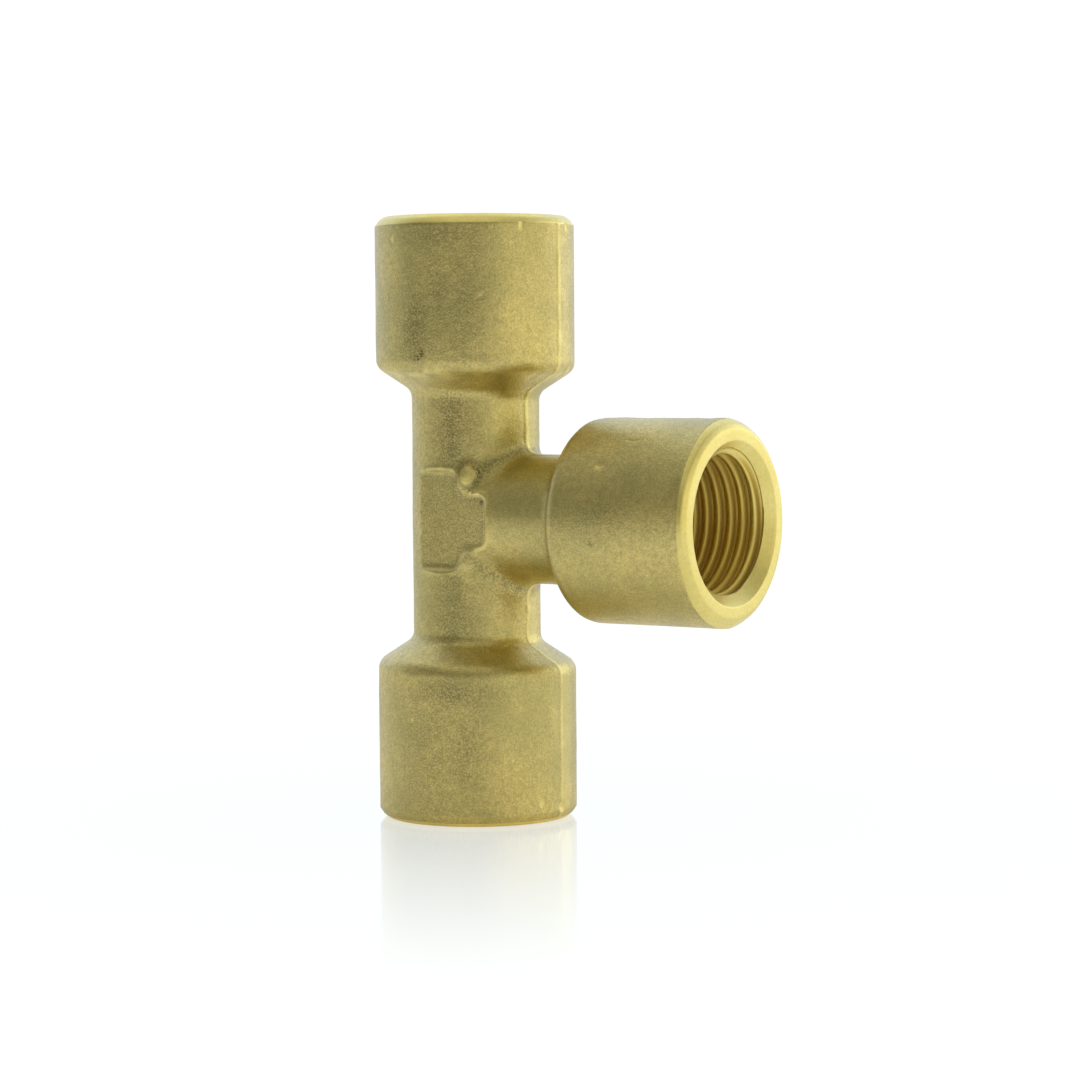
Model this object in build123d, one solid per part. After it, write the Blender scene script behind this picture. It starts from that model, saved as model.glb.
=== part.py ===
from build123d import *
import math
import os

# Equal brass tee fitting: one hot-forged body with three G1/8 female sockets, alike but for
# a tenth of a millimetre on the outside of the branch.
# The run stands along Z and the branch points along +X.
# The origin is the centre of the lower socket's end face.
# All sizes are in millimetres. "Out" is the distance from the crossing of the two bores.

# Body
LEG_LENGTH = 20.0  # crossing of the bores to each end face
RUN_SOCKET_DIAMETER = 13.24
BRANCH_SOCKET_DIAMETER = 13.34  # a hair over the run's sockets, as forged
RUN_NECK_DIAMETER = 8.52
BRANCH_NECK_DIAMETER = 8.50  # a hair under the run, as forged
SHOULDER_START = 8.25  # out, where the neck begins to flare
SHOULDER_END = 9.80  # out, where the flare reaches the socket's full diameter
NECK_FILLET = 0.9
SHOULDER_ROUNDING = 1.0
CROTCH_FILLET = 0.9
REGION_PLANE = 6.5  # out, where a socket region meets the junction region

# Machined mouth
END_CHAMFER_RADIAL = 0.60
END_CHAMFER_AXIAL = 0.62
COUNTERSINK_DIAMETER = 10.6
PASSAGE_DIAMETER = 6.0
DRILL_POINT_ANGLE = 118.0

# G1/8 thread to ISO 228-1: 28 threads per inch, 55 degrees, right-hand
THREAD_PITCH = 25.4 / 28
THREAD_MAJOR_DIAMETER = 9.728
THREAD_PITCH_DIAMETER = 9.147
THREAD_MINOR_DIAMETER = 8.848
THREAD_FLANK_ANGLE = 27.5
THREAD_DEPTH = 8.32  # end face to the last full groove
DRILLED_DEPTH = 9.6  # end face to the end of the full-diameter tapping hole
CUTTER_OVERLAP = 0.12  # how far the thread cutter's inner face lies inside the minor diameter
LEAST_THREAD_VOLUME = 35.0  # mm3 that cutting one whole thread takes away at the least

# Blank sunk pad, T-shaped, on the front and on the back of the junction
PAD_DEPTH = 0.30  # below the crest of the necks
PAD_RUN_LENGTH = 6.2
PAD_FAR_EDGE = -2.2  # X, beyond where the floor runs out of the neck's curve
PAD_STEM_EDGE = 1.15  # X, the step beside the run's centre line
PAD_ARM_HEIGHT = 3.2
PAD_ARM_END = 3.4  # X
PAD_CORNER_RADIUS = 0.35
PAD_DRAFT = 35.0  # degrees from the die's stroke
PAD_CUTTER_REACH = 0.8

Z_ALIGN = (Align.CENTER, Align.CENTER, Align.MIN)


def socket_blank(neck_diameter, socket_diameter):
    """Turned outline of one socket along +Z, from the region plane to the end face, solid inside."""
    neck = neck_diameter / 2
    outer = socket_diameter / 2
    rim = (outer, LEG_LENGTH - END_CHAMFER_AXIAL)
    with BuildSketch(Plane.XZ) as outline:
        with BuildLine():
            FilletPolyline(
                (neck, REGION_PLANE),
                (neck, SHOULDER_START),
                (outer, SHOULDER_END),
                rim,
                radius=(NECK_FILLET, SHOULDER_ROUNDING),
            )
            Polyline(
                rim,
                (outer - END_CHAMFER_RADIAL, LEG_LENGTH),
                (0, LEG_LENGTH),
                (0, REGION_PLANE),
                (neck, REGION_PLANE),
            )
        make_face()
    return revolve(outline.sketch, axis=Axis.Z)


def bore_core():
    """Everything that drilling and countersinking one socket takes away, along +Z."""
    minor = THREAD_MINOR_DIAMETER / 2
    passage = PASSAGE_DIAMETER / 2
    mouth = COUNTERSINK_DIAMETER / 2
    drilled_end = LEG_LENGTH - DRILLED_DEPTH
    point_length = (minor - passage) / math.tan(math.radians(DRILL_POINT_ANGLE / 2))
    with BuildSketch(Plane.XZ) as outline:
        with BuildLine():
            Polyline(
                (0, 0),
                (passage, 0),
                (passage, drilled_end - point_length),
                (minor, drilled_end),
                (minor, LEG_LENGTH - (mouth - minor)),
                (mouth, LEG_LENGTH),
                (mouth, LEG_LENGTH + THREAD_PITCH),
                (0, LEG_LENGTH + THREAD_PITCH),
                close=True,
            )
        make_face()
    return revolve(outline.sketch, axis=Axis.Z)


def thread_groove():
    """Right-hand helical groove of the female thread, running in through the end face along Z."""
    inner = THREAD_MINOR_DIAMETER / 2 - CUTTER_OVERLAP
    depth = THREAD_MAJOR_DIAMETER / 2 - inner
    start = LEG_LENGTH - THREAD_DEPTH
    path = Helix(THREAD_PITCH, THREAD_DEPTH + THREAD_PITCH, inner, center=(0, 0, start))
    section = Plane(origin=(inner, 0, start), x_dir=(1, 0, 0), z_dir=(0, -1, 0))
    with BuildSketch(section) as profile:
        with BuildLine():
            Polyline(
                (0, -groove_half_width(inner)),
                (depth, -groove_half_width(inner + depth)),
                (depth, groove_half_width(inner + depth)),
                (0, groove_half_width(inner)),
                close=True,
            )
        make_face()
    return sweep(profile.sketch.faces()[0], path=path, is_frenet=True)


def groove_half_width(radius):
    """Half the groove's width at a radius; at the pitch radius it is a quarter of the pitch."""
    inward = THREAD_PITCH_DIAMETER / 2 - radius
    return THREAD_PITCH / 4 + inward * math.tan(math.radians(THREAD_FLANK_ANGLE))


def socket_region(neck_diameter, socket_diameter):
    """One female socket of the forging, along +Z, with its real thread cut in it."""
    bored = socket_blank(neck_diameter, socket_diameter) - bore_core()
    threaded = bored - thread_groove()
    removed = bored.volume - threaded.volume
    if not LEAST_THREAD_VOLUME < removed < 2 * LEAST_THREAD_VOLUME:
        raise ValueError(f"the thread's groove took away {removed:.1f} mm3")
    return threaded


def junction_region():
    """The two crossing necks with their crotch fillets, sunk pads and crossing passages."""
    run = Cylinder(RUN_NECK_DIAMETER / 2, 2 * REGION_PLANE)
    branch = along_branch(Cylinder(BRANCH_NECK_DIAMETER / 2, REGION_PLANE, align=Z_ALIGN))
    necks = run + branch
    creases = [edge for edge in necks.edges() if edge.geom_type == GeomType.BSPLINE]
    necks = necks.fillet(CROTCH_FILLET, creases)
    run_passage = Cylinder(PASSAGE_DIAMETER / 2, 4 * REGION_PLANE)
    branch_passage = along_branch(Cylinder(PASSAGE_DIAMETER / 2, 2 * REGION_PLANE, align=Z_ALIGN))
    front_pad = pad_cutter()
    back_pad = mirror(front_pad, about=Plane.XZ)
    return necks - front_pad - back_pad - run_passage - branch_passage


def pad_cutter():
    """T-shaped tool with drafted walls that sinks the pad into the -Y side of the junction."""
    floor = RUN_NECK_DIAMETER / 2 - PAD_DEPTH
    half_run = PAD_RUN_LENGTH / 2
    half_arm = PAD_ARM_HEIGHT / 2
    with BuildPart() as cutter:
        with BuildSketch(Plane.XZ.offset(floor)) as outline:
            with BuildLine():
                Polyline(
                    (PAD_FAR_EDGE, -half_run),
                    (PAD_STEM_EDGE, -half_run),
                    (PAD_STEM_EDGE, -half_arm),
                    (PAD_ARM_END, -half_arm),
                    (PAD_ARM_END, half_arm),
                    (PAD_STEM_EDGE, half_arm),
                    (PAD_STEM_EDGE, half_run),
                    (PAD_FAR_EDGE, half_run),
                    close=True,
                )
            make_face()
            fillet(outline.vertices(), PAD_CORNER_RADIUS)
        extrude(amount=PAD_CUTTER_REACH, taper=-PAD_DRAFT)
    return cutter.part


def along_branch(shape):
    """Turn a shape made along +Z so that it lies along +X."""
    return Rot(0, 90, 0) * shape


def upside_down(shape):
    """Turn a shape made along +Z so that it lies along -Z."""
    return Rot(180, 0, 0) * shape


def make_regions():
    """The four regions of the one forging; they meet face to face across the necks."""
    crossing = Pos(0, 0, LEG_LENGTH)
    run_socket = socket_region(RUN_NECK_DIAMETER, RUN_SOCKET_DIAMETER)
    branch_socket = socket_region(BRANCH_NECK_DIAMETER, BRANCH_SOCKET_DIAMETER)
    return {
        "junction_body": crossing * junction_region(),
        "upper_run_socket": crossing * run_socket,
        "lower_run_socket": crossing * upside_down(run_socket),
        "branch_socket": crossing * along_branch(branch_socket),
    }


os.makedirs("parts", exist_ok=True)
for name, shape in make_regions().items():
    export_step(shape, os.path.join("parts", name + ".step"))
    print(name, round(shape.volume, 2), "mm3")
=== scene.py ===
import math

import bmesh
import bpy
import numpy as np
from mathutils import Matrix, Vector


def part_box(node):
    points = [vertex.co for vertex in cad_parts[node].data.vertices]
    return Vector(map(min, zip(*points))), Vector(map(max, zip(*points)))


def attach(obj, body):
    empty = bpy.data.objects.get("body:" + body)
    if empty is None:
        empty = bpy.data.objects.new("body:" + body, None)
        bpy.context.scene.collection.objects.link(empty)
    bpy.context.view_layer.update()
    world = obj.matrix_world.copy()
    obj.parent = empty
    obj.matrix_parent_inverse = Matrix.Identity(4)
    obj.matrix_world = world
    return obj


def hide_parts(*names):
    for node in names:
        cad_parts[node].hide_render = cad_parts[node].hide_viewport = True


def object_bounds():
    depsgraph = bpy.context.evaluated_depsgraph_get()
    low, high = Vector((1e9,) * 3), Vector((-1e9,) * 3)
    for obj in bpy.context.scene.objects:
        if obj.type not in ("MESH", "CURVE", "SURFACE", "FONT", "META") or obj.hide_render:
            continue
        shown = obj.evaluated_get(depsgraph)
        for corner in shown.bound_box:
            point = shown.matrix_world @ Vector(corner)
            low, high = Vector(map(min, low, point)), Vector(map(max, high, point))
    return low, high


# The looks of a hot-forged brass equal tee: a shot-blasted skin with a parting line, die-sunk pads and
# small nicks, and bright turned mouths with real G1/8 threads. One detailed mesh stands for each CAD node.
# Shapes are worked out in millimetres from the crossing of the bores, and written in metres.
# "Out" is the distance from the crossing along a leg, and a leg is one of the three arms.

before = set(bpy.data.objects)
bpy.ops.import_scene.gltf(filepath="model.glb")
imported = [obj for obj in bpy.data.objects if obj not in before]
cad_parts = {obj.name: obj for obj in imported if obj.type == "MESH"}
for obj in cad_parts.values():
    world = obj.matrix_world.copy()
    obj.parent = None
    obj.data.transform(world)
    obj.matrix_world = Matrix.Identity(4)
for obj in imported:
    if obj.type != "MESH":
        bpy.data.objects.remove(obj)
CAD_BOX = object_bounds()

MM = 0.001
_, JUNCTION_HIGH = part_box("junction_body")
_, RUN_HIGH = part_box("upper_run_socket")
_, BRANCH_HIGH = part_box("branch_socket")

# Sizes that the frame gives
LEG_LENGTH = BRANCH_HIGH.x / MM
NECK_RADIUS = JUNCTION_HIGH.y / MM
SOCKET_RADII = {"upper": RUN_HIGH.y / MM, "lower": RUN_HIGH.y / MM, "branch": BRANCH_HIGH.y / MM}
REGION_PLANE = JUNCTION_HIGH.x / MM
CROSSING = Vector((0, 0, CAD_BOX[1].z / 2))

# Sizes of the CAD part that the frame's boxes don't tell
BRANCH_NECK_RADIUS = 4.25
NECK_RADII = {"upper": NECK_RADIUS, "lower": NECK_RADIUS, "branch": BRANCH_NECK_RADIUS}
SHOULDER_START = 8.25
SHOULDER_END = 9.80
NECK_FILLET = 0.9
SHOULDER_ROUNDING = 1.0
END_CHAMFER_RADIAL = 0.60
END_CHAMFER_AXIAL = 0.62
MOUTH_RADIUS = 5.3
PASSAGE_RADIUS = 3.0
THREAD_PITCH = 25.4 / 28
THREAD_MAJOR_RADIUS = 4.864
THREAD_PITCH_RADIUS = 4.5735
THREAD_MINOR_RADIUS = 4.424
THREAD_FLANK = math.radians(27.5)
THREAD_DEPTH = 8.32
DRILLED_DEPTH = 9.6
DRILL_POINT = math.radians(59)
PAD_DEPTH = 0.30
PAD_HALF_RUN = 3.1
PAD_FAR_EDGE = -2.2
PAD_STEM_EDGE = 1.15
PAD_HALF_ARM = 1.6
PAD_ARM_END = 3.4
PAD_DRAFT = math.radians(35)

# Forged finish
CROTCH_BLEND = 1.1  # width of the soft crotch between the necks
PAD_SOFTNESS = 0.16  # rounding of the pad's edges
PAD_CORNER = 0.45
PAD_LOWER_BLEND = 2.2  # width of the sweep between the pad's arm and its lower half
PAD_RIM_EDGE = -1.62  # X, where the pad's floor runs out of the neck's curve
PAD_RIM_HEIGHT = 0.08  # metal that the die squeezed up round the pad
PAD_RIM_CREST = 0.20  # from the pad's outline out to the rim's crest
PAD_RIM_WIDTH = 0.21
PAD_RIM_REACH = 8.0  # X, far enough for the rim's left edge to have no right end
LUMP_RADIUS = 0.66  # metal that filled the die at the pad's inner corners
LUMP_PLACE = (1.88, 3.50, 2.78)
LUMP_FLATTENING = (1.0, 1.0, 0.76)  # the lumps are a little longer along the run
LUMP_BLEND = 0.5
BRANCH_END_SLOPE = 1.2  # how fast the branch's neck ends behind the run's axis

# Turned and tapped finish
CHAMFER_BULGE = 0.05  # how far the end chamfer is rounded out
FACE_EDGE = 0.35  # rounding between the end chamfer and the face
MACHINED_EDGE = 0.09  # broken edges of the mouth and of the drilled hole
TOOL_RING_CLOSENESS = 1.7  # how much closer the tool's rings lie on the face than in the bore
CREST_ROUNDING = 0.20  # widths over which the thread's crests and roots are rounded
ROOT_ROUNDING = 0.16
THREAD_MESH_START = 0.40  # depth, on the countersink
THREAD_MESH_END = THREAD_DEPTH + 0.9  # depth, in the plain part of the drilled hole
RUN_OUT_START = THREAD_DEPTH - 0.2  # depths between which the groove fades out
RUN_OUT_END = THREAD_DEPTH + 0.8

# Flash, and how the forging came out of true
FLASH_HEIGHT = 0.055  # what the trimming left of the flash along the parting line
FLASH_GROOVE = 0.016
FLASH_GROOVE_PLACE = -0.20  # across the parting line
FLASH_GROOVE_WIDTH = 0.12
FLASH_SLANT = 0.38  # how far towards the front die the parting line lies on the necks
FLASH_WANDER = 0.03
CLOSE_TRIMMING = 0.45  # share of the flash that is left on the lower leg
FORGING_SHIFT = {"upper": 0.12, "lower": -0.15, "branch": 0.0}  # how far out each shoulder came
FORGING_TILT = {"upper": -0.12, "lower": 0.12, "branch": 0.0}  # and how much more so on one side
TILT_SIDE = (0.83, 0.56, 0.0)  # the side in question
FORGING_SQUASH = {"upper": 0.0, "lower": 0.0, "branch": 0.15}  # flatter in the dies' direction

# Waves of the forged skin: height, wavelength and seed
WAVES = ((0.020, 4.6, 3), (0.011, 1.7, 5), (0.006, 0.7, 7), (0.004, 0.35, 9))

# Mesh density
ANGLES = 360
ANGLE_CROWDING = 0.5  # crowds the angles towards the parting line
CREASE_ROWS = 72
PASSAGE_ROWS = 8
PATH_SPACING = 0.19
ROWS_PER_PITCH = 12
ARC_STEP = 9  # degrees
WELD = 0.0005 * MM
SHARP_ANGLE = math.radians(38)
SETTLING_ROUNDS = 12
SETTLING_STEP = 0.9  # share of the way to the surface in one round
LEAST_STEEPNESS = 0.2
SLOPE_REACH = 0.004

# Each leg: its axis, and the direction of angle 0; angles turn right-handed about the axis
LEGS = {
    "upper": ((0, 0, 1), (1, 0, 0)),
    "lower": ((0, 0, -1), (1, 0, 0)),
    "branch": ((1, 0, 0), (0, 0, -1)),
}

# The CAD node that each leg's socket stands for
SOCKET_NODES = {"upper": "upper_run_socket", "lower": "lower_run_socket", "branch": "branch_socket"}

# Small dents in the skin: leg, out, angle in degrees, half-length along the leg, half-width, depth
DENTS = (
    ("upper", 19.15, -28, 0.35, 0.16, 0.10),
    ("upper", 19.20, 11, 0.28, 0.20, 0.12),
    ("upper", 18.35, -110, 0.22, 0.14, 0.08),
    ("upper", 14.60, -52, 0.12, 0.22, 0.05),
    ("upper", 12.60, 150, 0.30, 0.16, 0.08),
    ("lower", 18.55, 16, 0.30, 0.22, 0.09),
    ("lower", 19.00, -1, 0.24, 0.30, 0.10),
    ("lower", 15.60, 35, 0.16, 0.12, 0.06),
    ("lower", 13.10, 96, 0.14, 0.20, 0.06),
    ("lower", 17.20, 205, 0.18, 0.36, 0.07),
    ("branch", 13.20, -125, 0.34, 0.20, 0.09),
    ("branch", 14.75, -144, 0.55, 0.07, 0.07),
    ("branch", 16.90, -62, 0.12, 0.16, 0.05),
    ("branch", 12.85, -23, 0.22, 0.12, 0.06),
    ("branch", 15.40, 70, 0.26, 0.18, 0.08),
)

# Painted pools of light on the upper neck's front and on top of the branch socket: middle and size in
# millimetres from the crossing, and strength
PAINTED_LIGHT_PATCHES = (
    ((3.7, -2.0, 6.4), (1.5, 1.3, 2.4), 0.45),
    ((13.5, -1.0, 6.2), (4.5, 2.5, 0.9), 0.30),
)

# Painted highlight and painted shade
SHOULDER_RIM = 9.65  # out, where the painted highlight along the shoulders' rims lies
SHOULDER_RIM_WIDTH = 0.45
DARK_REFLECTION_PLACE = 0.9  # X, of the painted dark reflection down the front of the run's necks
DARK_REFLECTION_WIDTH = 1.0
VALLEY_PLACE = -0.30  # difference between the distances to the two necks, where the painted shade in the crotch lies
VALLEY_WIDTH = 0.48
PAD_BORDER = 0.16  # painted shade just inside the pad's outline
TIP_SHADE = (1.65, -4.0, 1.95)  # painted shade in the crevice between the front pad's upper half and its arm
TIP_SHADE_SIZE = 0.35
CORNER_SHADE = (3.15, -3.9, 1.25)  # painted shade in the upper corner of the arm's end
CORNER_SHADE_SIZE = 0.16

# Dark oxide stains on the skin, and one broad band of painted shade on the branch socket's front: leg, out,
# angle in degrees, half-length, half-width, strength
STAINS_AND_SHADE = (
    ("upper", 12.60, -92, 2.40, 1.10, 0.60),
    ("upper", 10.95, -87, 0.26, 0.16, 1.80),
    ("upper", 10.62, -90, 0.16, 0.26, 1.50),
    ("upper", 18.60, -74, 0.80, 2.20, 0.45),
    ("upper", 14.80, -62, 5.00, 1.20, 0.26),
    ("upper", 15.40, -76, 2.20, 0.90, 0.35),
    ("upper", 14.20, 120, 1.80, 1.40, 0.45),
    ("lower", 11.20, 70, 0.70, 2.60, 0.50),
    ("lower", 15.20, 62, 2.60, 1.00, 0.35),
    ("lower", 15.00, 84, 4.50, 1.70, 0.24),
    ("lower", 14.20, 190, 1.60, 1.50, 0.50),
    # painted shade: a broad dark band across the front of the branch socket
    ("branch", 13.60, -98, 2.40, 1.30, 0.22),
    ("branch", 13.10, -80, 0.20, 0.12, 0.90),
    ("branch", 16.10, 95, 1.80, 1.30, 0.45),
)


# ---------------------------------------------------------------- noise and field helpers


def lattice_value(cell, seed):
    """A fixed number from -1 to 1 for each whole-number cell."""
    mixed = cell[:, 0] * 73856093 ^ cell[:, 1] * 19349663 ^ cell[:, 2] * 83492791
    mixed = (mixed + seed * 40503) * 1274126177
    mixed = (mixed ^ (mixed >> 15)) * 668265263
    mixed = (mixed ^ (mixed >> 17)) & 0xFFFF
    return mixed / 32767.5 - 1


def smooth_noise(points, wavelength, seed):
    """Noise from -1 to 1 that varies over about one wavelength, the same on every run."""
    cell = points / wavelength
    low = np.floor(cell).astype(np.int64)
    part = cell - low
    part = part * part * part * (part * (part * 6 - 15) + 10)
    total = np.zeros(len(points))
    for corner in np.ndindex(2, 2, 2):
        weight = np.prod(np.where(corner, part, 1 - part), axis=1)
        total += weight * lattice_value(low + np.array(corner), seed)
    return total


def smooth_step(value, low, high):
    """0 below low, 1 above high, smooth between."""
    part = np.clip((value - low) / (high - low), 0, 1)
    return part * part * (3 - 2 * part)


def bell(away, width):
    """1 where away is 0, falling to nothing over a few widths."""
    return np.exp(-((away / width) ** 2))


def smooth_min(a, b, width):
    """The lower of two fields, blended where they differ by less than width."""
    overlap = np.maximum(width - np.abs(a - b), 0) / width
    return np.minimum(a, b) - overlap * overlap * width / 4


def smooth_max(a, b, width):
    """The higher of two fields, blended where they differ by less than width."""
    return -smooth_min(-a, -b, width)


# ---------------------------------------------------------------- shape of the junction


def rounded_rectangle(x, z, left, right, half_height, corner):
    """Distance to a rectangle with rounded corners in the XZ plane, negative inside."""
    across = np.abs(x - (left + right) / 2) - (right - left) / 2 + corner
    along = np.abs(z) - half_height + corner
    outside = np.hypot(np.maximum(across, 0), np.maximum(along, 0))
    return outside + np.minimum(np.maximum(across, along), 0) - corner


def pad_outline(x, z):
    """Distance to the T-shaped pad's outline, negative inside."""
    stem = rounded_rectangle(x, z, PAD_FAR_EDGE, PAD_STEM_EDGE, PAD_HALF_RUN, PAD_CORNER)
    arm = rounded_rectangle(x, z, PAD_FAR_EDGE, PAD_ARM_END, PAD_HALF_ARM, PAD_CORNER)
    upper = smooth_min(stem, arm, 2 * PAD_CORNER)
    lower = smooth_min(stem, arm, PAD_LOWER_BLEND)
    return np.where(z > 0, upper, lower)


def pad_rim(points):
    """Height of the low rim round the pads."""
    x, y, z = points.T
    outline = pad_outline(np.maximum(x, PAD_RIM_EDGE - 0.6), z)
    left = rounded_rectangle(x, z, PAD_RIM_EDGE, PAD_RIM_REACH, PAD_HALF_RUN, PAD_CORNER)
    from_crest = np.maximum(outline, left) - PAD_RIM_CREST
    near_floor = smooth_step(np.abs(y), 3.0, 3.7)
    return PAD_RIM_HEIGHT * bell(from_crest, PAD_RIM_WIDTH) * near_floor


def lump_distance(points):
    """Distance to the nearest of the lumps at the pads' inner corners."""
    middle = np.column_stack([points[:, 0], np.abs(points[:, 1]), np.abs(points[:, 2])])
    apart = (middle - np.array(LUMP_PLACE)) * np.array(LUMP_FLATTENING)
    return np.linalg.norm(apart, axis=1) - LUMP_RADIUS


def necks_apart(points):
    """Distances to the run's neck and to the branch's neck."""
    x, y, z = points.T
    run = np.hypot(x, y) - NECK_RADIUS
    behind = BRANCH_END_SLOPE * np.maximum(-x, 0)
    branch = np.hypot(y, z) - BRANCH_NECK_RADIUS + behind
    return run, branch


def junction_field(points):
    """Negative inside the junction's metal: the blended necks less the pads on both sides."""
    run, branch = necks_apart(points)
    necks = smooth_min(run, branch, CROTCH_BLEND)
    necks = smooth_min(necks, lump_distance(points), LUMP_BLEND) - pad_rim(points)
    above_floor = np.abs(points[:, 1]) - (NECK_RADIUS - PAD_DEPTH)
    outline = pad_outline(points[:, 0], points[:, 2])
    wall = (outline - above_floor * math.tan(PAD_DRAFT)) * math.cos(PAD_DRAFT)
    cutter = smooth_max(-above_floor, wall, PAD_SOFTNESS)
    return smooth_max(necks, -cutter, PAD_SOFTNESS)


def field_gradient(field, points):
    """Slope of a field by central differences."""
    slopes = np.empty_like(points)
    for axis in range(3):
        step = np.zeros(3)
        step[axis] = SLOPE_REACH
        slopes[:, axis] = (field(points + step) - field(points - step)) / (2 * SLOPE_REACH)
    return slopes


def settle_on(field, points):
    """Move points along the field's slope until they lie on its surface; give them and their normals."""
    points = points.copy()
    for _ in range(SETTLING_ROUNDS):
        slopes = field_gradient(field, points)
        steepness = np.maximum((slopes**2).sum(axis=1), LEAST_STEEPNESS)
        points -= (field(points) / steepness)[:, None] * slopes * SETTLING_STEP
    slopes = field_gradient(field, points)
    return points, slopes / np.linalg.norm(slopes, axis=1)[:, None]


# ---------------------------------------------------------------- finish of the skin


def flash_line(points):
    """Places across the parting line, in millimetres towards the back die, with a little wander."""
    on_neck = 1 - smooth_step(farthest_out(points), SHOULDER_START, SHOULDER_END + 0.6)
    return points[:, 1] + FLASH_SLANT * on_neck + FLASH_WANDER * smooth_noise(points, 1.5, 31)


def farthest_out(points):
    """How far out points are, along whichever leg they lie farthest."""
    return np.abs(points[:, [0, 2]]).max(axis=1)


def flash_height(across):
    """Outline of the trimmed flash: a small groove, a step up, and a land that dies away."""
    step = smooth_step(across, -0.20, 0.16) * (1 - smooth_step(across, 0.25, 1.10))
    return FLASH_HEIGHT * step - FLASH_GROOVE * bell(across - FLASH_GROOVE_PLACE, FLASH_GROOVE_WIDTH)


def forging_waves(points):
    """How far the forged skin stands off its nominal surface, not counting dents."""
    waves = sum(height * smooth_noise(points, wavelength, seed) for height, wavelength, seed in WAVES)
    uneven = 0.75 + 0.45 * smooth_noise(points, 0.9, 11)
    return waves + flash_height(flash_line(points)) * uneven * trimming(points)


def trimming(points):
    """Share of the flash that was left: the lower leg was trimmed closer than the others."""
    return CLOSE_TRIMMING + (1 - CLOSE_TRIMMING) * smooth_step(points[:, 2], -9, -2)


def keep_in_box(points):
    """Trim what would stand out of the CAD model's box."""
    low = (np.array(CAD_BOX[0]) - np.array(CROSSING)) / MM
    high = (np.array(CAD_BOX[1]) - np.array(CROSSING)) / MM
    return np.clip(points, low, high)


def turned_from(angle, degrees):
    """The turn in radians from a direction given in degrees, the shorter way round."""
    return np.angle(np.exp(1j * (angle - math.radians(degrees))))


def dent_depth(leg, out, angle, radius):
    """Depth of the dents at a point on one leg's skin."""
    total = np.zeros_like(out)
    for dent_leg, dent_out, dent_angle, half_length, half_width, depth in DENTS:
        if dent_leg == leg:
            along = (out - dent_out) / half_length
            across = turned_from(angle, dent_angle) * radius / half_width
            total += depth * np.exp(-(along**2 + across**2) ** 1.5)
    return total


# ---------------------------------------------------------------- turned profiles and threads


def rounded_path(corners, spacing):
    """Points along a path of (radius, out, rounding) corners, with an arc at each rounded one."""
    path = [np.array(corners[0][:2])]
    for before, here, after in zip(corners, corners[1:], corners[2:]):
        point = np.array(here[:2])
        arrive = point - before[:2]
        leave = np.array(after[:2]) - point
        arrive = arrive / np.linalg.norm(arrive)
        leave = leave / np.linalg.norm(leave)
        turn = math.acos(np.clip(arrive @ leave, -1, 1))
        setback = here[2] * math.tan(turn / 2)
        start = point - arrive * setback
        path += straight_run(path[-1], start, spacing)
        steps = max(2, math.ceil(math.degrees(turn) / ARC_STEP))
        for step in range(1, steps + 1):
            part = step / steps * turn
            swing = math.sin(part) * arrive + (1 - math.cos(part)) * turn_side(arrive, leave)
            path.append(start + here[2] * swing)
    path += straight_run(path[-1], np.array(corners[-1][:2]), spacing)
    return np.array(path)


def turn_side(arrive, leave):
    """The unit vector at right angles to arrive, on the side that leave turns to."""
    side = leave - (leave @ arrive) * arrive
    return side / np.linalg.norm(side)


def straight_run(start, end, spacing):
    """Evenly spaced points after start, up to and including end."""
    count = max(1, math.ceil(np.linalg.norm(end - start) / spacing))
    return [start + (end - start) * step / count for step in range(1, count + 1)]


def thread_radius(winding, depth):
    """Radius of the female thread's wall; winding is the helical place in millimetres."""
    turned = winding - LEG_LENGTH + THREAD_DEPTH
    from_groove = np.abs((turned + THREAD_PITCH / 2) % THREAD_PITCH - THREAD_PITCH / 2)
    flank = THREAD_PITCH_RADIUS + (THREAD_PITCH / 4 - from_groove) / math.tan(THREAD_FLANK)
    wall = smooth_max(flank, np.full_like(flank, THREAD_MINOR_RADIUS), CREST_ROUNDING)
    wall = smooth_min(wall, np.full_like(wall, THREAD_MAJOR_RADIUS), ROOT_ROUNDING)
    run_out = 1 - smooth_step(depth, RUN_OUT_START, RUN_OUT_END)
    wall = THREAD_MINOR_RADIUS + (wall - THREAD_MINOR_RADIUS) * run_out
    softness = 0.12 * smooth_step(depth, THREAD_MESH_START, THREAD_MESH_START + 0.10) + 0.001
    return smooth_max(wall, MOUTH_RADIUS - depth, softness)


def angle_steps():
    """Angles round a leg, closer together near the parting line, at 0 and at half a turn."""
    even = np.arange(ANGLES) * 2 * math.pi / ANGLES
    return even - ANGLE_CROWDING / 2 * np.sin(2 * even)


FORGED = 0
MACHINED = 1


class Surface:
    """A growing mesh in millimetres from the crossing, with a finish for each face."""

    def __init__(self):
        self.points = []
        self.faces = []
        self.finishes = []
        self.count = 0

    def add_rows(self, rows):
        """Add rows of ANGLES points each and return the number of each row's first point."""
        starts = []
        for row in rows:
            self.points.append(row)
            starts.append(self.count)
            self.count += len(row)
        return starts

    def join_all(self, starts, finish):
        """Faces between each row and the next."""
        for low, high in zip(starts, starts[1:]):
            self.join(low, high, finish)

    def join(self, low, high, finish, shift=None):
        """Faces between two rows. Where a thread closes on itself, shift is the two rows one turn on."""
        for step in range(ANGLES):
            nxt = (step + 1) % ANGLES
            low_next, high_next = (low, high) if nxt or shift is None else shift
            self.faces.append((low + step, low_next + nxt, high_next + nxt, high + step))
            self.finishes.append(finish)


def leg_point(leg, radius, angle, out):
    """Points on a leg at a radius, an angle and a distance out."""
    axis, zero = (np.array(direction, float) for direction in LEGS[leg])
    quarter = np.cross(axis, zero)
    radial = np.outer(np.cos(angle), zero) + np.outer(np.sin(angle), quarter)
    return radial * np.reshape(radius, (-1, 1)) + np.outer(out, axis)


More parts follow.
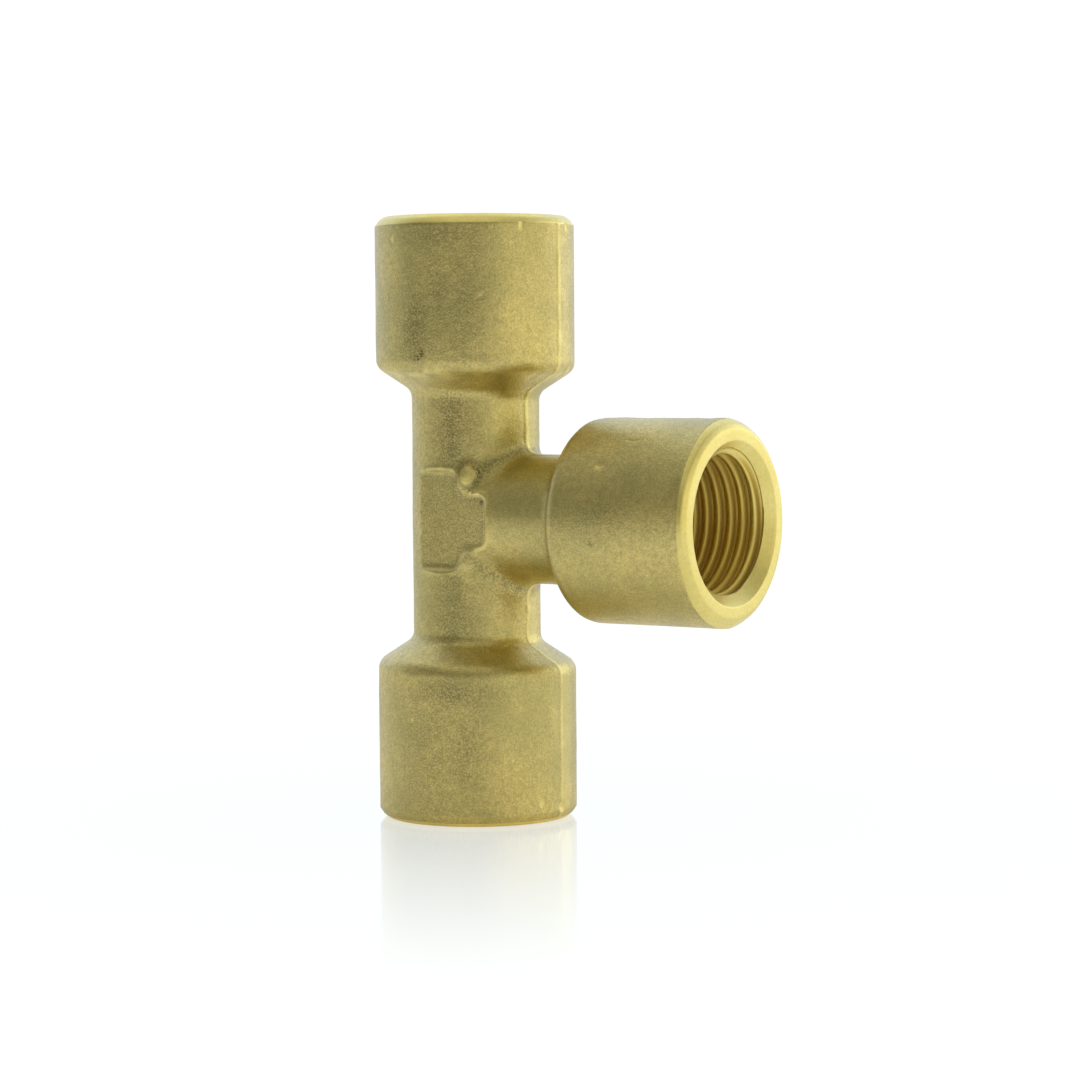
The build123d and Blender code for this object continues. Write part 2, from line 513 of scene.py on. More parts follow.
def socket_skin_path(leg):
    """The forged outside of a socket, from the region plane to the end chamfer."""
    shift = FORGING_SHIFT[leg]
    neck = NECK_RADII[leg]
    outer = SOCKET_RADII[leg]
    return rounded_path(
        [
            (neck, REGION_PLANE, 0),
            (neck, SHOULDER_START + shift, NECK_FILLET),
            (outer, SHOULDER_END + shift, SHOULDER_ROUNDING),
            (outer, LEG_LENGTH - END_CHAMFER_AXIAL, 0),
        ],
        PATH_SPACING,
    )


def path_normals(path):
    """Unit normals of a path in (radius, out), away from the leg's axis where it runs outwards."""
    along = np.gradient(path, axis=0)
    normals = np.column_stack([along[:, 1], -along[:, 0]])
    return normals / np.linalg.norm(normals, axis=1)[:, None]


def skin_rows(leg):
    """Rows of the forged skin of one socket, with its waves, flash line and dents."""
    angles = angle_steps()
    ring = np.ones(ANGLES)
    path = socket_skin_path(leg)
    rows = []
    for (radius, out), (radial, axial) in zip(path, path_normals(path)):
        nominal = leg_point(leg, ring * radius, angles, ring * out)
        squash = FORGING_SQUASH[leg] * smooth_step(out, REGION_PLANE, SHOULDER_END)
        offset = forging_waves(nominal) - squash * (nominal[:, 1] / radius) ** 2
        offset = offset - dent_depth(leg, ring * out, angles, radius)
        slide = chamfer_slide(offset, out) + shoulder_slide(leg, nominal / radius, out)
        row = leg_point(leg, radius + offset * radial, angles, out + offset * axial + slide)
        rows.append(keep_in_box(row))
    return rows


def chamfer_slide(offset, out):
    """How far out the skin's end slides, so that its edge stays on the end chamfer's cone."""
    near_chamfer = smooth_step(out, LEG_LENGTH - 1.6, LEG_LENGTH - END_CHAMFER_AXIAL)
    return -offset * near_chamfer * END_CHAMFER_AXIAL / END_CHAMFER_RADIAL


def shoulder_slide(leg, direction, out):
    """How far out the shoulder is tilted in a direction from the leg's axis."""
    near_shoulder = smooth_step(out, REGION_PLANE, SHOULDER_START) * (1 - smooth_step(out, 10, 13))
    return FORGING_TILT[leg] * near_shoulder * (direction @ np.array(TILT_SIDE))


def plain_rows(leg, path):
    """Rows of a turned surface along a path."""
    angles = angle_steps()
    ring = np.ones(ANGLES)
    return [leg_point(leg, ring * radius, angles, ring * out) for radius, out in path]


def thread_rows(leg):
    """Rows that wind with the thread, from the drilled hole out to the countersink."""
    angles = angle_steps()
    low = LEG_LENGTH - THREAD_MESH_END
    high = LEG_LENGTH - THREAD_MESH_START
    step = THREAD_PITCH / ROWS_PER_PITCH
    rows = []
    for count in range(math.ceil((high - low + 2 * THREAD_PITCH) / step) + 2):
        winding = low - THREAD_PITCH + count * step
        out = np.clip(winding + THREAD_PITCH * angles / (2 * math.pi), low, high)
        helical = out - THREAD_PITCH * angles / (2 * math.pi)
        rows.append(leg_point(leg, thread_radius(helical, LEG_LENGTH - out), angles, out))
    return rows


def mouth_path(leg):
    """The turned mouth, from the middle of the end chamfer over the face to the countersink."""
    edge = SOCKET_RADII[leg] - END_CHAMFER_RADIAL
    half_radial = END_CHAMFER_RADIAL / 2 + CHAMFER_BULGE
    half_axial = END_CHAMFER_AXIAL / 2 - CHAMFER_BULGE
    return rounded_path(
        [
            (edge + half_radial, LEG_LENGTH - half_axial, 0),
            (edge, LEG_LENGTH, FACE_EDGE),
            (MOUTH_RADIUS, LEG_LENGTH, MACHINED_EDGE),
            (MOUTH_RADIUS - THREAD_MESH_START, LEG_LENGTH - THREAD_MESH_START, 0),
        ],
        PATH_SPACING,
    )


def hole_path():
    """The drilled hole behind the thread, its point, and the passage as far as the region plane."""
    point_out = LEG_LENGTH - DRILLED_DEPTH
    point_length = (THREAD_MINOR_RADIUS - PASSAGE_RADIUS) / math.tan(DRILL_POINT)
    return rounded_path(
        [
            (THREAD_MINOR_RADIUS, LEG_LENGTH - THREAD_MESH_END, 0),
            (THREAD_MINOR_RADIUS, point_out, MACHINED_EDGE),
            (PASSAGE_RADIUS, point_out - point_length, MACHINED_EDGE),
            (PASSAGE_RADIUS, REGION_PLANE, 0),
        ],
        4 * PATH_SPACING,
    )


def socket_surface(leg):
    """One whole socket as a closed surface: skin, chamfer, face, countersink, thread, drilled hole."""
    surface = Surface()
    skin_points = skin_rows(leg)
    mouth_points = plain_rows(leg, mouth_path(leg))
    chamfer = [skin_points[-1] * (1 - part) + mouth_points[0] * part for part in (1 / 3, 2 / 3)]
    skin = surface.add_rows(skin_points)
    turned = [skin[-1], *surface.add_rows(chamfer + mouth_points)]
    hole = surface.add_rows(plain_rows(leg, hole_path()))
    dull = len(chamfer) + 1 if leg == "lower" else 0
    surface.join_all(skin, FORGED)
    surface.join_all(turned[: dull + 1], FORGED)
    surface.join_all(turned[dull:], MACHINED)
    join_thread(surface, surface.add_rows(thread_rows(leg)))
    surface.join_all(hole, MACHINED)
    surface.join(hole[-1], skin[0], MACHINED)
    return surface


def join_thread(surface, winding):
    """Faces between the rows that wind with the thread."""
    for row in range(len(winding) - ROWS_PER_PITCH - 1):
        turn_on = (winding[row + ROWS_PER_PITCH + 1], winding[row + ROWS_PER_PITCH])
        surface.join(winding[row + 1], winding[row], MACHINED, turn_on)


def junction_surface():
    """The junction as a closed surface: three patches of skin, three of bore, and the region planes."""
    surface = Surface()
    crease_radius = (NECK_RADIUS + BRANCH_NECK_RADIUS) / 2
    for leg in LEGS:
        neck = NECK_RADII[leg]
        outer = surface.add_rows(patch_rows(leg, crease_radius, neck, CREASE_ROWS, forged=True))
        bore = patch_rows(leg, PASSAGE_RADIUS, PASSAGE_RADIUS, PASSAGE_ROWS, forged=False)
        inner = surface.add_rows(bore)
        surface.join_all(outer, FORGED)
        surface.join(outer[-1], inner[-1], MACHINED)
        surface.join_all(inner[::-1], MACHINED)
    return surface


def patch_rows(leg, crease_radius, neck, count, forged):
    """Rows from the crease where the legs meet to the region plane."""
    angles = angle_steps()
    toward_crease = np.cos(angles)
    reach = np.abs(toward_crease) if leg == "branch" else np.maximum(toward_crease, 0)
    rows = []
    for part in np.linspace(0, 1, count):
        radius = crease_radius + (neck - crease_radius) * part
        out = reach * radius * (1 - part) + REGION_PLANE * part
        row = leg_point(leg, np.full(ANGLES, radius), angles, out)
        if forged:
            row, normals = settle_on(junction_field, row)
            row = row + normals * forging_waves(row)[:, None]
        rows.append(row)
    return rows


# ---------------------------------------------------------------- wear, stains, painted highlight and painted shade that the materials read


def skin_wear_and_highlight(points):
    """How bright the skin is: burnished on the trimmed flash, a painted highlight on its land that is
    partly smooth trimmed metal, rubbed in random patches, and painted light in broad patches and along the
    shoulders' rims.
    """
    across = flash_line(points)
    crest = smooth_step(across, -0.12, 0.08) * (1 - smooth_step(across, 0.16, 0.45))
    land = smooth_step(across, -0.05, 0.10) * (1 - smooth_step(across, 0.9, 2.6))
    patches = smooth_step(smooth_noise(points, 2.4, 41), 0.35, 0.8)
    fine = smooth_noise(points, 0.45, 43) * 0.5 + 0.5
    # The land's brightness is a painted highlight, partly smooth trimmed metal, a little stronger lower
    # down.
    land_share = 0.30 - 0.007 * points[:, 2]
    wear_and_highlight = crest * (0.15 + 0.55 * fine) * trimming(points) + land_share * land + 0.2 * patches * fine
    return np.clip(wear_and_highlight + painted_light_patches(points) + rim_highlight(points) * fine, 0, 1)


def painted_light_patches(points):
    """How bright the broad painted pools of light on the skin are."""
    total = np.zeros(len(points))
    for middle, size, strength in PAINTED_LIGHT_PATCHES:
        apart = (points - np.array(middle)) / np.array(size)
        total += strength * np.exp(-(apart**2).sum(axis=1))
    return total


def rim_highlight(points):
    """Painted highlight along the shoulders' rims, all but the lower one's."""
    rim = bell(farthest_out(points) - SHOULDER_RIM, SHOULDER_RIM_WIDTH)
    return 0.75 * rim * smooth_step(points[:, 2], -7.5, -6.5)


def dent_shine(leg, points):
    """Fresh metal in the dents of one leg."""
    out, angle, _ = leg_place(leg, points)
    return np.clip(dent_depth(leg, out, angle, SOCKET_RADII[leg]) / 0.07, 0, 0.8)


def leg_place(leg, points):
    """How far out, at what angle and at what radius points are on a leg."""
    axis, zero = (np.array(direction, float) for direction in LEGS[leg])
    quarter = np.cross(axis, zero)
    across = np.column_stack([points @ zero, points @ quarter])
    return points @ axis, np.arctan2(across[:, 1], across[:, 0]), np.linalg.norm(across, axis=1)


def socket_stains_and_shade(leg, points):
    """Oxide stains and one band of painted shade on the skin, the painted dark reflection down the necks,
    and cutting residue with painted shade in the thread.
    """
    out, angle, radius = leg_place(leg, points)
    on_skin = radius > THREAD_MAJOR_RADIUS + 0.2
    skin = stains_and_shade(leg, out, angle, radius) * on_skin + neck_dark_reflection(points)
    threaded = (radius < THREAD_MAJOR_RADIUS + 0.05) & (LEG_LENGTH - out < THREAD_DEPTH + 1)
    return np.where(threaded, thread_residue_and_shade(out, angle, radius), skin)


def stains_and_shade(leg, out, angle, radius):
    """Strength of the oxide stains and of the painted shade band at a point on one leg's skin."""
    total = np.zeros_like(out)
    for mark_leg, mark_out, mark_angle, half_length, half_width, strength in STAINS_AND_SHADE:
        if mark_leg == leg:
            along = (out - mark_out) / half_length
            across = turned_from(angle, mark_angle) * radius / half_width
            total = np.maximum(total, strength * np.exp(-(along**2 + across**2)))
    return total


def thread_residue_and_shade(out, angle, radius):
    """Cutting residue and painted shade in the grooves, most in the first one and less on the side at angle
    180 near the mouth, and painted shade on the crests that deepens into the bore.
    """
    depth = LEG_LENGTH - out
    groove = smooth_step(radius, THREAD_MINOR_RADIUS + 0.05, THREAD_MINOR_RADIUS + 0.20)
    in_groove = groove * smooth_step(depth, 0.76, 1.00) * (2 - smooth_step(depth, 1.1, 2.2))
    lighter_side = smooth_step(-np.cos(angle), 0.75, 0.97) * (1 - smooth_step(depth, 1.5, 2.2))
    on_crest = smooth_step(depth, 0.7, 1.2) * (0.30 + 0.55 * smooth_step(depth, 1.2, 2.4))
    return np.maximum(in_groove * (1 - 0.65 * lighter_side), on_crest)


def neck_dark_reflection(points):
    """Painted dark reflection down the front of the run's necks."""
    x, y, z = points.T
    in_front = (y < 0) * (np.hypot(x, y) > NECK_RADIUS - 0.5)
    along = smooth_step(np.abs(z), 2.8, 4.2) * (1 - smooth_step(np.abs(z), 7.6, 9.2))
    strength = np.where(z > 0, 0.55, 0.36)
    return bell(x - DARK_REFLECTION_PLACE, DARK_REFLECTION_WIDTH) * in_front * along * strength


def junction_wear_and_highlight(points):
    """Rubbing and painted highlight on the pads' rims, and painted highlight on the lumps, most on the
    upper one in front.
    """
    rim = pad_rim(points) / PAD_RIM_HEIGHT
    lump = 1 - smooth_step(lump_distance(points), -0.02, 0.16)
    fine = smooth_noise(points, 0.6, 47) * 0.5 + 0.5
    beside_arm = smooth_step(points[:, 0], 1.3, 2.6)
    rim = rim * (0.20 + 0.40 * fine) * (1 + 0.6 * beside_arm)
    upper_front = (points[:, 2] > 0) & (points[:, 1] < 0)
    return rim + lump * np.where(upper_front, 0.9 + 0.9 * fine, 0.45)


def junction_painted_shade(points):
    """Painted shade in the crotch, beside the upper lumps, on the pads' borders and floors and in two
    corners, with the painted dark reflection down the necks.
    """
    x, y, z = points.T
    run, branch = necks_apart(points)
    # All painted shade: the crotch between the necks, the pads' recessed borders and floors, the line
    # beside the upper lumps, and the crevices at the tip and the arm's corner.
    valley = bell(run - branch - VALLEY_PLACE, VALLEY_WIDTH) * smooth_step(x, 1.4, 2.6)
    on_pad = smooth_step(np.abs(y), 3.6, 3.9)
    outline = pad_outline(x, z)
    border = bell(outline + PAD_BORDER, PAD_BORDER) * on_pad
    floor = smooth_step(-outline, 0.0, 0.25) * on_pad
    beside_lump = bell(lump_distance(points) - 0.20, 0.13) * (z > 2.3)
    tip = bell(np.linalg.norm(points - np.array(TIP_SHADE), axis=1), TIP_SHADE_SIZE)
    corner = bell(np.linalg.norm(points - np.array(CORNER_SHADE), axis=1), CORNER_SHADE_SIZE)
    total = 0.50 * valley + 0.22 * border + 0.20 * floor + neck_dark_reflection(points) + 0.40 * beside_lump
    return np.clip(total + 0.7 * tip + 1.3 * corner, 0, 1)


def write_attribute(mesh, name, values):
    """Give each of the mesh's points a number that the materials can read by name."""
    attribute = mesh.attributes.new(name, "FLOAT", "POINT")
    attribute.data.foreach_set("value", np.asarray(values, np.float32))


def make_piece(name, surface, leg, materials):
    """Turn a surface into one welded Blender mesh with its finish, its wear and stains, and its painted
    highlight and shade.
    """
    points = np.vstack(surface.points)
    world = points * MM + np.array(CROSSING)
    mesh = bpy.data.meshes.new(name)
    mesh.from_pydata(world.tolist(), [], surface.faces)
    mesh.polygons.foreach_set("material_index", np.array(surface.finishes, np.int32))
    weld_mesh(mesh)
    mesh.shade_smooth()
    mesh.set_sharp_from_angle(angle=SHARP_ANGLE)
    placed = np.array([vertex.co for vertex in mesh.vertices])
    placed = (placed - np.array(CROSSING)) / MM
    extra = dent_shine(leg, placed) if leg else junction_wear_and_highlight(placed)
    write_attribute(mesh, "wear_and_highlight", np.maximum(skin_wear_and_highlight(placed), extra))
    write_attribute(mesh, "grime_and_shade", socket_stains_and_shade(leg, placed) if leg else junction_painted_shade(placed))
    write_attribute(mesh, "tool_path", tool_path(leg, placed))
    for material in materials:
        mesh.materials.append(material)
    piece = bpy.data.objects.new(name, mesh)
    bpy.context.scene.collection.objects.link(piece)
    return piece


def tool_path(leg, points):
    """A coordinate in millimetres that the cutting tool's fine rings follow."""
    if not leg:
        return points[:, 2]
    out, _, radius = leg_place(leg, points)
    return TOOL_RING_CLOSENESS * radius - out


def weld_mesh(mesh):
    """Weld the seams, drop the faces that the thread's ends squeeze flat, and face everything outwards."""
    work = bmesh.new()
    work.from_mesh(mesh)
    bmesh.ops.remove_doubles(work, verts=work.verts, dist=WELD)
    bmesh.ops.recalc_face_normals(work, faces=work.faces)
    work.to_mesh(mesh)
    work.free()


# ---------------------------------------------------------------- materials


# Colours of brass, in linear red, green and blue
SKIN_DARK = (0.56, 0.477, 0.167)
SKIN_PALE = (0.725, 0.592, 0.203)
SKIN_PATCH = (0.495, 0.42, 0.158)
GRAIN_DARK = (0.89, 0.885, 0.865)
GRAIN_PALE = (1.105, 1.10, 1.11)
# The oxide colour also darkens painted shade, the rubbed and lump colours also carry painted highlight, and
# the thread colours also darken painted shade.
OXIDE_AND_SHADE = (0.15, 0.125, 0.055)
RUBBED_AND_LIT_SKIN = (0.88, 0.74, 0.26)
LUMP_HIGHLIGHT = (1.0, 0.84, 0.14)
TURNED_DARK = (0.88, 0.735, 0.22)
TURNED_PALE = (0.94, 0.80, 0.262)
TOOL_RING = (0.74, 0.58, 0.15)
SMEAR = (0.70, 0.54, 0.15)
SCUFF = (0.69, 0.575, 0.195)
THREAD_CREST = (0.72, 0.52, 0.105)
THREAD_RESIDUE_AND_SHADE = (0.36, 0.25, 0.055)


class Nodes:
    """Short names for building the nodes of a material or a world."""

    def __init__(self, owner):
        owner.use_nodes = True
        self.tree = owner.node_tree
        self.tree.nodes.clear()

    def add(self, kind, inputs=None, **settings):
        """A new node, with its settings and the values of some of its inputs."""
        node = self.tree.nodes.new(kind)
        for name, value in settings.items():
            setattr(node, name, value)
        for name, value in (inputs or {}).items():
            node.inputs[name].default_value = value
        return node

    def link(self, output, target):
        self.tree.links.new(output, target)

    def mix_shaders(self, share, first, second):
        """Mix two shaders by a value."""
        mixed = self.add("ShaderNodeMixShader")
        for output, target in zip((share, first, second), mixed.inputs):
            self.link(output, target)
        return mixed.outputs["Shader"]

    def by_ray(self, bounced, seen):
        """One shader for the light that bounces about, and another for what the camera sees."""
        paths = self.add("ShaderNodeLightPath")
        return self.mix_shaders(paths.outputs["Is Camera Ray"], bounced, seen)


class MetalNodes(Nodes):
    """Short names for building a metal's material."""

    def __init__(self, material):
        super().__init__(material)
        self.shader = self.add("ShaderNodeBsdfPrincipled", {"Metallic": 1.0})
        output = self.add("ShaderNodeOutputMaterial")
        self.link(self.shader.outputs["BSDF"], output.inputs["Surface"])
        self.place = self.millimetres()

    def millimetres(self):
        """The surface's own place, in millimetres."""
        coordinates = self.add("ShaderNodeTexCoord")
        scale = self.add("ShaderNodeVectorMath", {"Scale": 1 / MM}, operation="SCALE")
        self.link(coordinates.outputs["Object"], scale.inputs[0])
        return scale.outputs["Vector"]

    def noise(self, size, detail=2.0, roughness=0.5):
        """Noise whose features are about size millimetres across."""
        inputs = {"Scale": 1 / size, "Detail": detail, "Roughness": roughness}
        noise = self.add("ShaderNodeTexNoise", inputs)
        self.link(self.place, noise.inputs["Vector"])
        return noise.outputs["Fac"]

    def ramp(self, value, low, high, start=0.0, end=1.0):
        """Value mapped from low..high to start..end, smoothly."""
        inputs = {"From Min": low, "From Max": high, "To Min": start, "To Max": end}
        mapped = self.add("ShaderNodeMapRange", inputs, interpolation_type="SMOOTHSTEP")
        self.link(value, mapped.inputs["Value"])
        return mapped.outputs["Result"]

    def math(self, operation, first, second):
        """Arithmetic on two values or numbers."""
        node = self.add("ShaderNodeMath", operation=operation)
        for socket, value in zip(node.inputs, (first, second)):
            if isinstance(value, (int, float)):
                socket.default_value = value
            else:
                self.link(value, socket)
        return node.outputs["Value"]

    def mix(self, share, first, second, blend="MIX"):
        """Mix two colours; share may be a number or a value."""
        node = self.add("ShaderNodeMix", data_type="RGBA", blend_type=blend)
        if isinstance(share, (int, float)):
            node.inputs["Factor"].default_value = share
        else:
            self.link(share, node.inputs["Factor"])
        for socket, colour in ((node.inputs[6], first), (node.inputs[7], second)):
            if isinstance(colour, tuple):
                socket.default_value = (*colour, 1.0)
            else:
                self.link(colour, socket)
        return node.outputs[2]

    def attribute(self, name):
        """A number that the mesh carries by name."""
        return self.add("ShaderNodeAttribute", attribute_name=name).outputs["Fac"]

    def bump(self, height, distance, strength):
        """Bump of a height from 0 to 1, over a distance in millimetres."""
        bump = self.add("ShaderNodeBump", {"Distance": distance * MM, "Strength": strength})
        self.link(height, bump.inputs["Height"])
        return bump.outputs["Normal"]


def forged_brass():
    """Shot-blasted forged brass: olive skin, fine grain, oxide stains, burnished flash line and dents, with
    painted shade and painted highlights.
    """
    material = bpy.data.materials.new("forged_brass")
    nodes = MetalNodes(material)
    grain = nodes.noise(0.12, detail=1.0, roughness=0.5)
    coarse = nodes.noise(0.40, detail=3.0, roughness=0.7)
    cloud = nodes.noise(5.5, detail=3.0, roughness=0.6)
    wear_and_highlight = nodes.attribute("wear_and_highlight")
    worn_and_lit = nodes.ramp(wear_and_highlight, 0.05, 0.95)
    dirt_and_shade = nodes.attribute("grime_and_shade")
    colour = nodes.mix(nodes.ramp(cloud, 0.35, 0.65), SKIN_DARK, SKIN_PALE)
    colour = nodes.mix(nodes.ramp(coarse, 0.38, 0.66, 0.0, 0.55), colour, SKIN_PATCH)
    shade = nodes.mix(nodes.ramp(grain, 0.30, 0.70), GRAIN_DARK, GRAIN_PALE)
    colour = nodes.mix(1.0, colour, shade, "MULTIPLY")
    # The grime attribute holds real oxide stains and painted shade. Both darken the skin towards a speckled
    # dark brown.
    speckled = nodes.math("MULTIPLY", nodes.ramp(grain, 0.60, 0.42, 0.35, 1.0), dirt_and_shade)
    colour = nodes.mix(speckled, colour, OXIDE_AND_SHADE)
    # Rubbed metal and painted highlight both lighten the skin towards pale brass.
    colour = nodes.mix(nodes.math("MULTIPLY", worn_and_lit, 0.9), colour, RUBBED_AND_LIT_SKIN)
    # Painted highlight on the lumps, brightest on the upper front one.
    colour = nodes.mix(nodes.ramp(wear_and_highlight, 0.9, 1.5), colour, LUMP_HIGHLIGHT)
    nodes.link(colour, nodes.shader.inputs["Base Color"])
    grained = nodes.ramp(grain, 0.2, 0.8, 0.47, 0.37)
    roughness = nodes.math("ADD", grained, nodes.math("MULTIPLY", worn_and_lit, -0.08))
    roughness = nodes.math("ADD", roughness, nodes.ramp(wear_and_highlight, 0.9, 1.5, 0.0, 0.45))
    nodes.link(roughness, nodes.shader.inputs["Roughness"])
    height = nodes.math("ADD", nodes.math("MULTIPLY", grain, 0.34), nodes.math("MULTIPLY", coarse, 0.65))
    nodes.link(nodes.bump(height, 0.050, 0.9), nodes.shader.inputs["Normal"])
    return material


def machined_brass():
    """Turned and tapped brass: bright, smooth, with the tool's fine rings, and thread grooves darkened by
    cutting residue and painted shade.
    """
    material = bpy.data.materials.new("machined_brass")
    nodes = MetalNodes(material)
    rings = nodes.add("ShaderNodeTexNoise", {"Scale": 14.0, "Detail": 3.0}, noise_dimensions="1D")
    nodes.link(nodes.attribute("tool_path"), rings.inputs["W"])
    rings = rings.outputs["Fac"]
    cloud = nodes.noise(2.2, detail=3.0)
    smear = nodes.noise(0.6, detail=2.0)
    dirt_and_shade = nodes.attribute("grime_and_shade")
    colour = nodes.mix(nodes.ramp(cloud, 0.3, 0.7), TURNED_DARK, TURNED_PALE)
    colour = nodes.mix(nodes.ramp(rings, 0.3, 0.7, 0.0, 0.18), colour, TOOL_RING)
    colour = nodes.mix(nodes.ramp(smear, 0.62, 0.8, 0.0, 0.30), colour, SMEAR)
    scuff = nodes.noise(0.25, detail=4.0, roughness=0.75)
    colour = nodes.mix(nodes.ramp(scuff, 0.40, 0.65, 0.0, 0.36), colour, SCUFF)
    # Painted shade that deepens into the thread darkens towards the crest colour. Residue and painted shade
    # in the grooves darken further.
    colour = nodes.mix(nodes.ramp(dirt_and_shade, 0.0, 1.0), colour, THREAD_CREST)
    colour = nodes.mix(nodes.ramp(dirt_and_shade, 1.0, 2.0), colour, THREAD_RESIDUE_AND_SHADE)
    nodes.link(colour, nodes.shader.inputs["Base Color"])
    ringed = nodes.ramp(rings, 0.3, 0.7, 0.32, 0.42)
    roughness = nodes.math("ADD", ringed, nodes.ramp(dirt_and_shade, 0.0, 1.0, 0.0, 0.15))
    nodes.link(roughness, nodes.shader.inputs["Roughness"])
    height = nodes.math("ADD", nodes.math("MULTIPLY", rings, 0.5), scuff)
    nodes.link(nodes.bump(height, 0.016, 0.6), nodes.shader.inputs["Normal"])
    return material


def white_table():
    """White table. The camera sees it burnt out, with a weak reflection that fades away from the tee."""
    material = bpy.data.materials.new("white_table")
    nodes = Nodes(material)
    matt = nodes.add("ShaderNodeBsdfDiffuse", {"Color": (0.92, 0.92, 0.92, 1)})
    glow = nodes.add("ShaderNodeEmission", {"Strength": 0.20})
    lit = nodes.add("ShaderNodeAddShader")
    nodes.link(matt.outputs["BSDF"], lit.inputs[0])
    nodes.link(glow.outputs["Emission"], lit.inputs[1])
    burnt_out = nodes.add("ShaderNodeEmission", {"Color": (0.97, 1.0, 0.985, 1), "Strength": 1.04})
    gloss = nodes.add("ShaderNodeBsdfGlossy", {"Color": (1, 1, 1, 1), "Roughness": 0.10})
    place = nodes.add("ShaderNodeTexCoord")
    distance = nodes.add("ShaderNodeVectorMath", operation="LENGTH")
    nodes.link(place.outputs["Object"], distance.inputs[0])
    fading = {"From Min": POLISH_START, "From Max": POLISH_END, "To Min": POLISH, "To Max": 0.0}
    polish = nodes.add("ShaderNodeMapRange", fading)
    nodes.link(distance.outputs["Value"], polish.inputs["Value"])
    seen = nodes.mix_shaders(polish.outputs["Result"], burnt_out.outputs["Emission"], gloss.outputs["BSDF"])
    output = nodes.add("ShaderNodeOutputMaterial")
    nodes.link(nodes.by_ray(lit.outputs["Shader"], seen), output.inputs["Surface"])
    return material


# ---------------------------------------------------------------- camera, floor and light

# The camera's place, in millimetres from the crossing, and its aim
VIEW_AZIMUTH = math.radians(33.63)
CAMERA_DISTANCE = 207.92
CAMERA_ASIDE = 4.24
CAMERA_RISE = 10.36
CAMERA_TILT = math.radians(3.282)
CAMERA_ROLL = math.radians(-0.364)
CAMERA_LENS = 103.68
SENSOR_WIDTH = 36.0
CLIP_START = 0.01
CLIP_END = 20

# The floor, in metres; its reflection fades away between two distances from the tee's foot
FLOOR_HALF_WIDTH = 4.0
POLISH_START = 0.006
POLISH_END = 0.056
POLISH = 0.42

# Light that reaches the metal from the studio's front and back
STUDIO_FRONT = (0.25, 0.245, 0.205, 1)
STUDIO_BACK = (0.92, 1.04, 1.44, 1)


def view_axes():
    """Level unit vectors to the right and away, as the main view sees them."""
    right = Vector((math.cos(VIEW_AZIMUTH), math.sin(VIEW_AZIMUTH), 0))
    away = Vector((-math.sin(VIEW_AZIMUTH), math.cos(VIEW_AZIMUTH), 0))
    return right, away


def make_camera():
    """The camera of the main view, without shift or depth of field."""
    right, away = view_axes()
    up = Vector((0, 0, 1))
    forward = away * math.cos(CAMERA_TILT) - up * math.sin(CAMERA_TILT)
    level_up = away * math.sin(CAMERA_TILT) + up * math.cos(CAMERA_TILT)
    side = right * math.cos(CAMERA_ROLL) + level_up * math.sin(CAMERA_ROLL)
    top = level_up * math.cos(CAMERA_ROLL) - right * math.sin(CAMERA_ROLL)
    data = bpy.data.cameras.new("camera")
    data.sensor_width = SENSOR_WIDTH
    data.lens = CAMERA_LENS
    data.clip_start = CLIP_START
    data.clip_end = CLIP_END
    camera = bpy.data.objects.new("camera", data)
    place = CROSSING + (right * CAMERA_ASIDE - away * CAMERA_DISTANCE + up * CAMERA_RISE) * MM
    turn = Matrix((side, top, -forward)).transposed().to_4x4()
    camera.matrix_world = Matrix.Translation(place) @ turn
    bpy.context.scene.collection.objects.link(camera)
    bpy.context.scene.camera = camera


def make_floor():
    """A level square that the tee stands on."""
    half = FLOOR_HALF_WIDTH
    mesh = bpy.data.meshes.new("floor")
    corners = [(-half, -half, 0), (half, -half, 0), (half, half, 0), (-half, half, 0)]
    mesh.from_pydata(corners, [], [(0, 1, 2, 3)])
    mesh.materials.append(white_table())
    floor = bpy.data.objects.new("floor", mesh)
    bpy.context.scene.collection.objects.link(floor)


def softbox(name, bearing, height, distance, size, radiance, tint=(1, 1, 1)):
    """A softbox that faces the tee; bearing is in degrees right of the camera, lengths in metres."""
    data = bpy.data.lights.new(name, "AREA")
    data.shape = "RECTANGLE"
    data.size, data.size_y = size
    data.energy = radiance * math.pi * size[0] * size[1]
    data.color = tint
    light = bpy.data.objects.new(name, data)
    right, away = view_axes()
    turn = math.radians(bearing)
    light.location = (right * math.sin(turn) - away * math.cos(turn)) * distance
    light.location.z = height
    light.rotation_mode = "QUATERNION"
    light.rotation_quaternion = (light.location - CROSSING).to_track_quat("Z", "Y")
    bpy.context.scene.collection.objects.link(light)


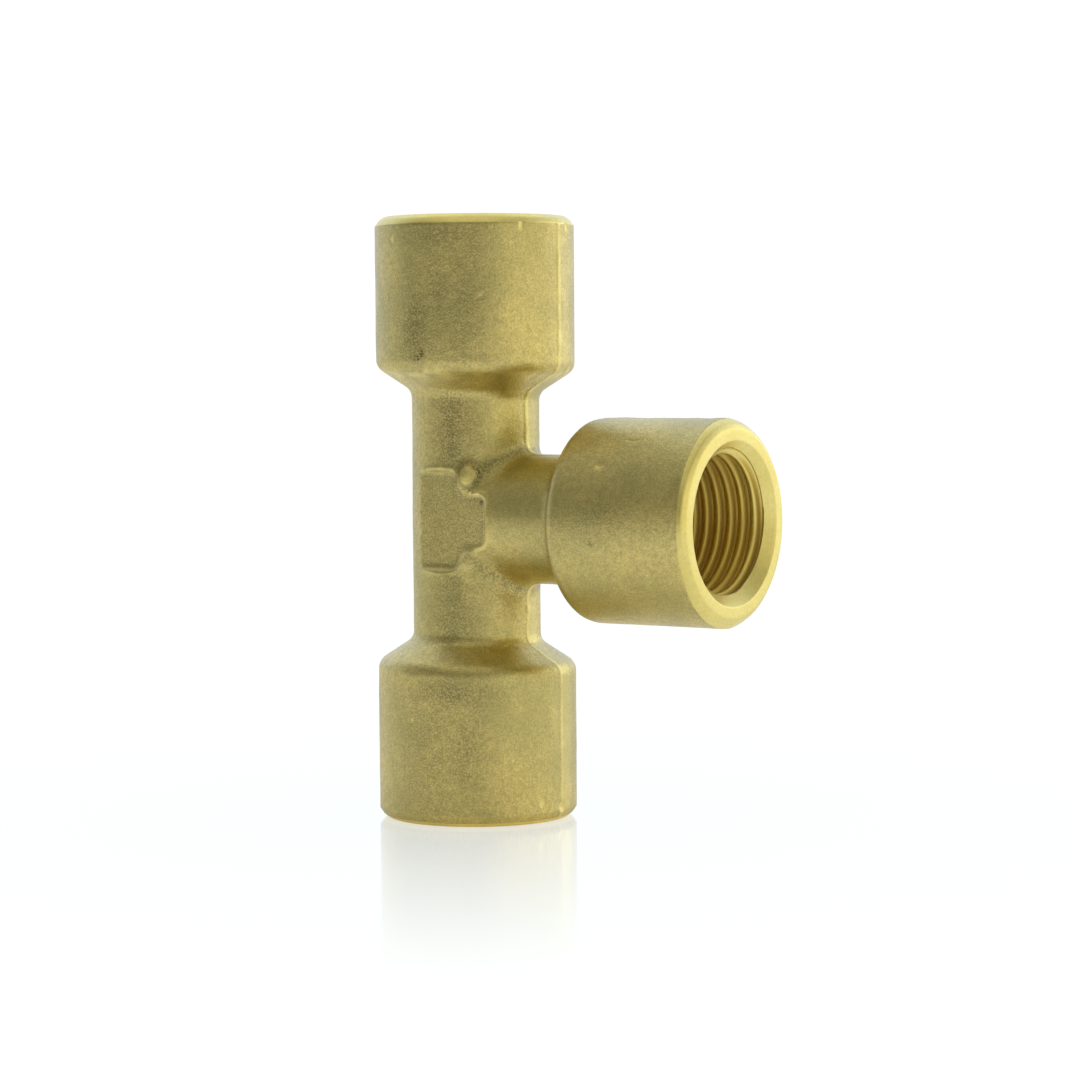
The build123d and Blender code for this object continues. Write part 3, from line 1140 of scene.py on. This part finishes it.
def make_lights():
    """Three softboxes: a warm one on the right, one overhead, and one above the front."""
    softbox("right_softbox", 84, 0.10, 0.40, (1.25, 0.45), 0.68, (1.0, 0.97, 0.86))
    softbox("top_softbox", 180, 0.50, 0.10, (0.60, 0.60), 0.30)
    softbox("front_top_softbox", -10, 0.50, 0.32, (0.60, 0.40), 0.34)


def make_world():
    """A white studio for the camera; the metal sees it darker in front and paler towards the back."""
    world = bpy.data.worlds.new("studio")
    nodes = Nodes(world)
    seen = nodes.add("ShaderNodeBackground", {"Color": (1, 1, 1, 1), "Strength": 1.05})
    coordinates = nodes.add("ShaderNodeTexCoord")
    toward_back = nodes.add("ShaderNodeVectorMath", {1: view_axes()[1]}, operation="DOT_PRODUCT")
    nodes.link(coordinates.outputs["Generated"], toward_back.inputs[0])
    limits = {"From Min": -0.30, "From Max": 1.0}
    rise = nodes.add("ShaderNodeMapRange", limits, interpolation_type="SMOOTHSTEP")
    nodes.link(toward_back.outputs["Value"], rise.inputs["Value"])
    shades = nodes.add("ShaderNodeMix", {6: STUDIO_FRONT, 7: STUDIO_BACK}, data_type="RGBA")
    nodes.link(rise.outputs["Result"], shades.inputs["Factor"])
    fill = nodes.add("ShaderNodeBackground")
    nodes.link(shades.outputs[2], fill.inputs["Color"])
    output = nodes.add("ShaderNodeOutputWorld")
    both = nodes.by_ray(fill.outputs["Background"], seen.outputs["Background"])
    nodes.link(both, output.inputs["Surface"])
    bpy.context.scene.world = world


# ---------------------------------------------------------------- the scene

bpy.context.scene.view_settings.view_transform = "Standard"
make_camera()
make_floor()
make_lights()
make_world()

FINISHES = (forged_brass(), machined_brass())  # in the order of FORGED and MACHINED
pieces = {"junction_body": make_piece("forged_junction", junction_surface(), None, FINISHES)}
for leg_name, node_name in SOCKET_NODES.items():
    piece_name = leg_name + "_threaded_socket"
    pieces[node_name] = make_piece(piece_name, socket_surface(leg_name), leg_name, FINISHES)

for node_name, piece in pieces.items():
    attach(piece, "root")
    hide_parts(node_name)
